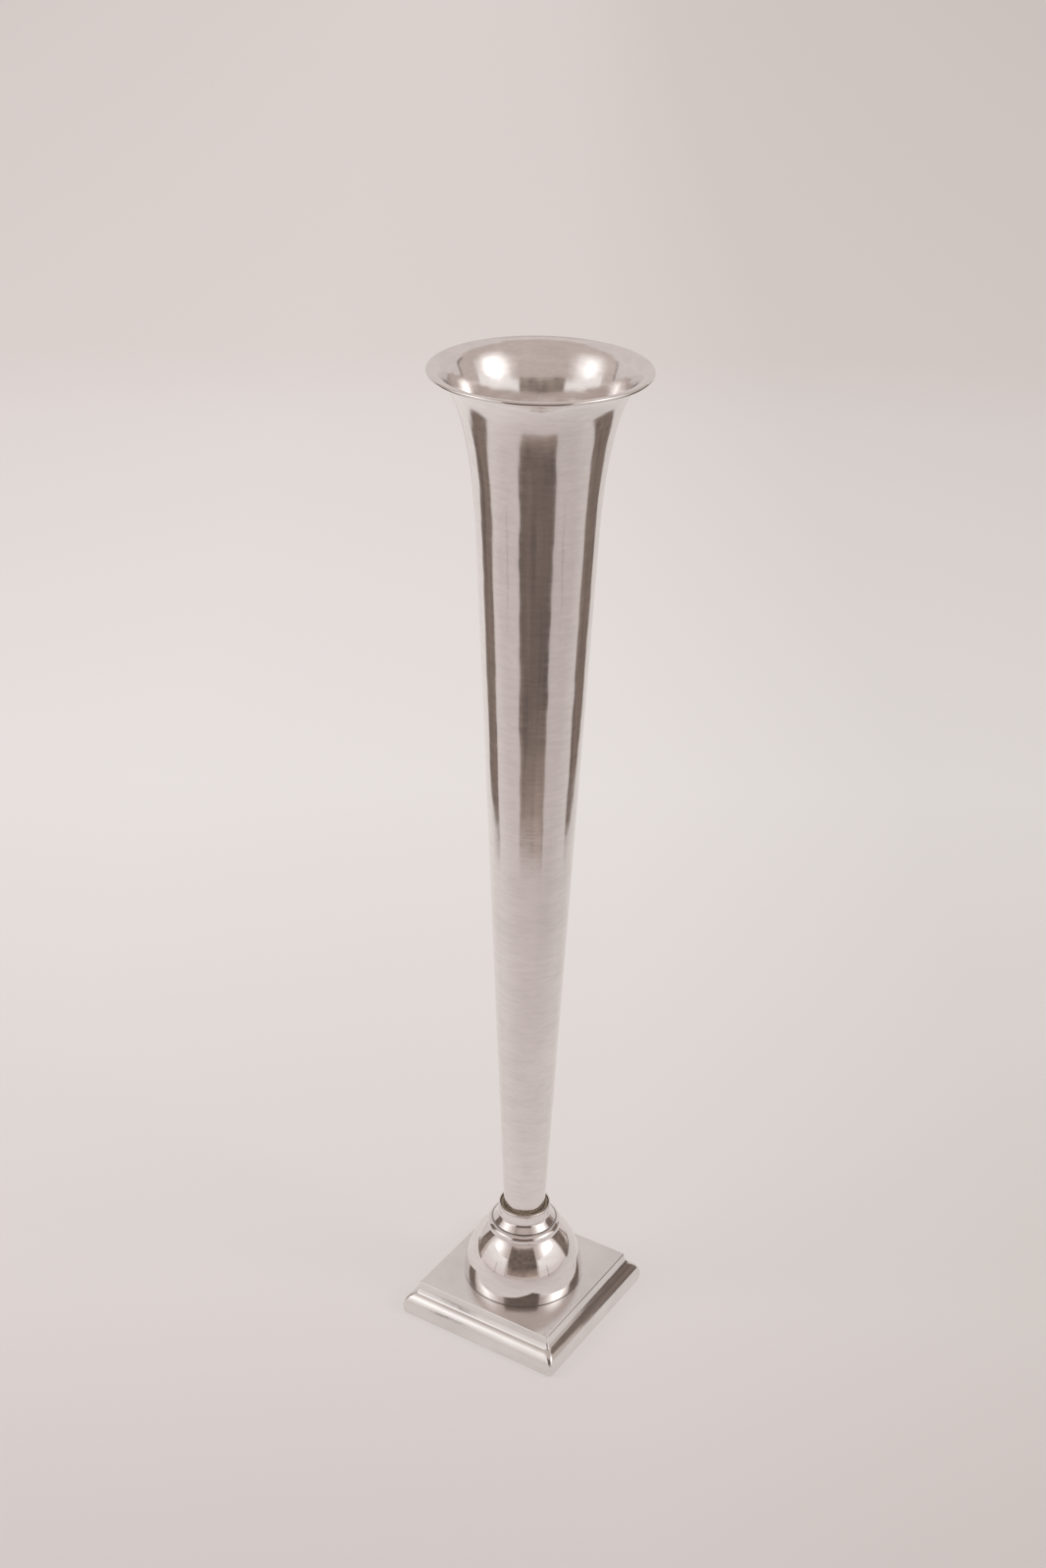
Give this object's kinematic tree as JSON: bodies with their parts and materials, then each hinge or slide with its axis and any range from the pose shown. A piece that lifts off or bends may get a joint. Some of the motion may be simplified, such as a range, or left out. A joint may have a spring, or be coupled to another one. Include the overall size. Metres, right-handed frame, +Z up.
{
  "type": "trumpet vase",
  "caption": "Tall slender trumpet-shaped flower vase with a flared lip, its stem screwed on to a turned collar, a bell-shaped dome and a square moulded plinth.",
  "frame": {"origin": "middle of the square on the standing plane, under the felt pads", "axes": "+Z up along the rod and the vessel's axis, X and Y square to the plinth's sides"},
  "size_m": [0.1349, 0.135, 0.7],
  "materials": {
    "polished_aluminium": "hand-polished to a mirror, fine polishing lines round the axis",
    "satin_aluminium": "cast, linished to a satin top with brightly polished mouldings",
    "turned_aluminium": "as turned",
    "plated_steel": "zinc plated",
    "spring_steel": "oiled",
    "fibre": "dull, dark brown",
    "felt": "pressed wool felt"
  },
  "bodies": {
    "base": {"plinth": "satin_aluminium", "dome": "polished_aluminium", "collar": "polished_aluminium", "tie_rod": "plated_steel", "cup_washer": "plated_steel", "cup_nut": "plated_steel", "base_washer": "plated_steel", "lock_washer": "spring_steel", "base_nut": "plated_steel", "felt_pad_1": "felt", "felt_pad_2": "felt", "felt_pad_3": "felt", "felt_pad_4": "felt"},
    "seat": {"seat_washer": "fibre"},
    "vessel": {"trumpet": "polished_aluminium", "stem_plug": "turned_aluminium"}
  },
  "joints": [
    {"name": "vessel_rise", "type": "slide", "parent": "base", "child": "seat", "axis": [0, 0, 1], "range_m": [0, 0.015]},
    {"name": "vessel_turn", "type": "hinge", "parent": "seat", "child": "vessel", "pos_m": [0, 0, 0.0785], "axis": [0, 0, 1], "range_deg": [0, 3600]}
  ],
  "couplings": [
    {"joint": "vessel_rise", "follows": "vessel_turn", "m_per_rad": 0.00023873}
  ]
}
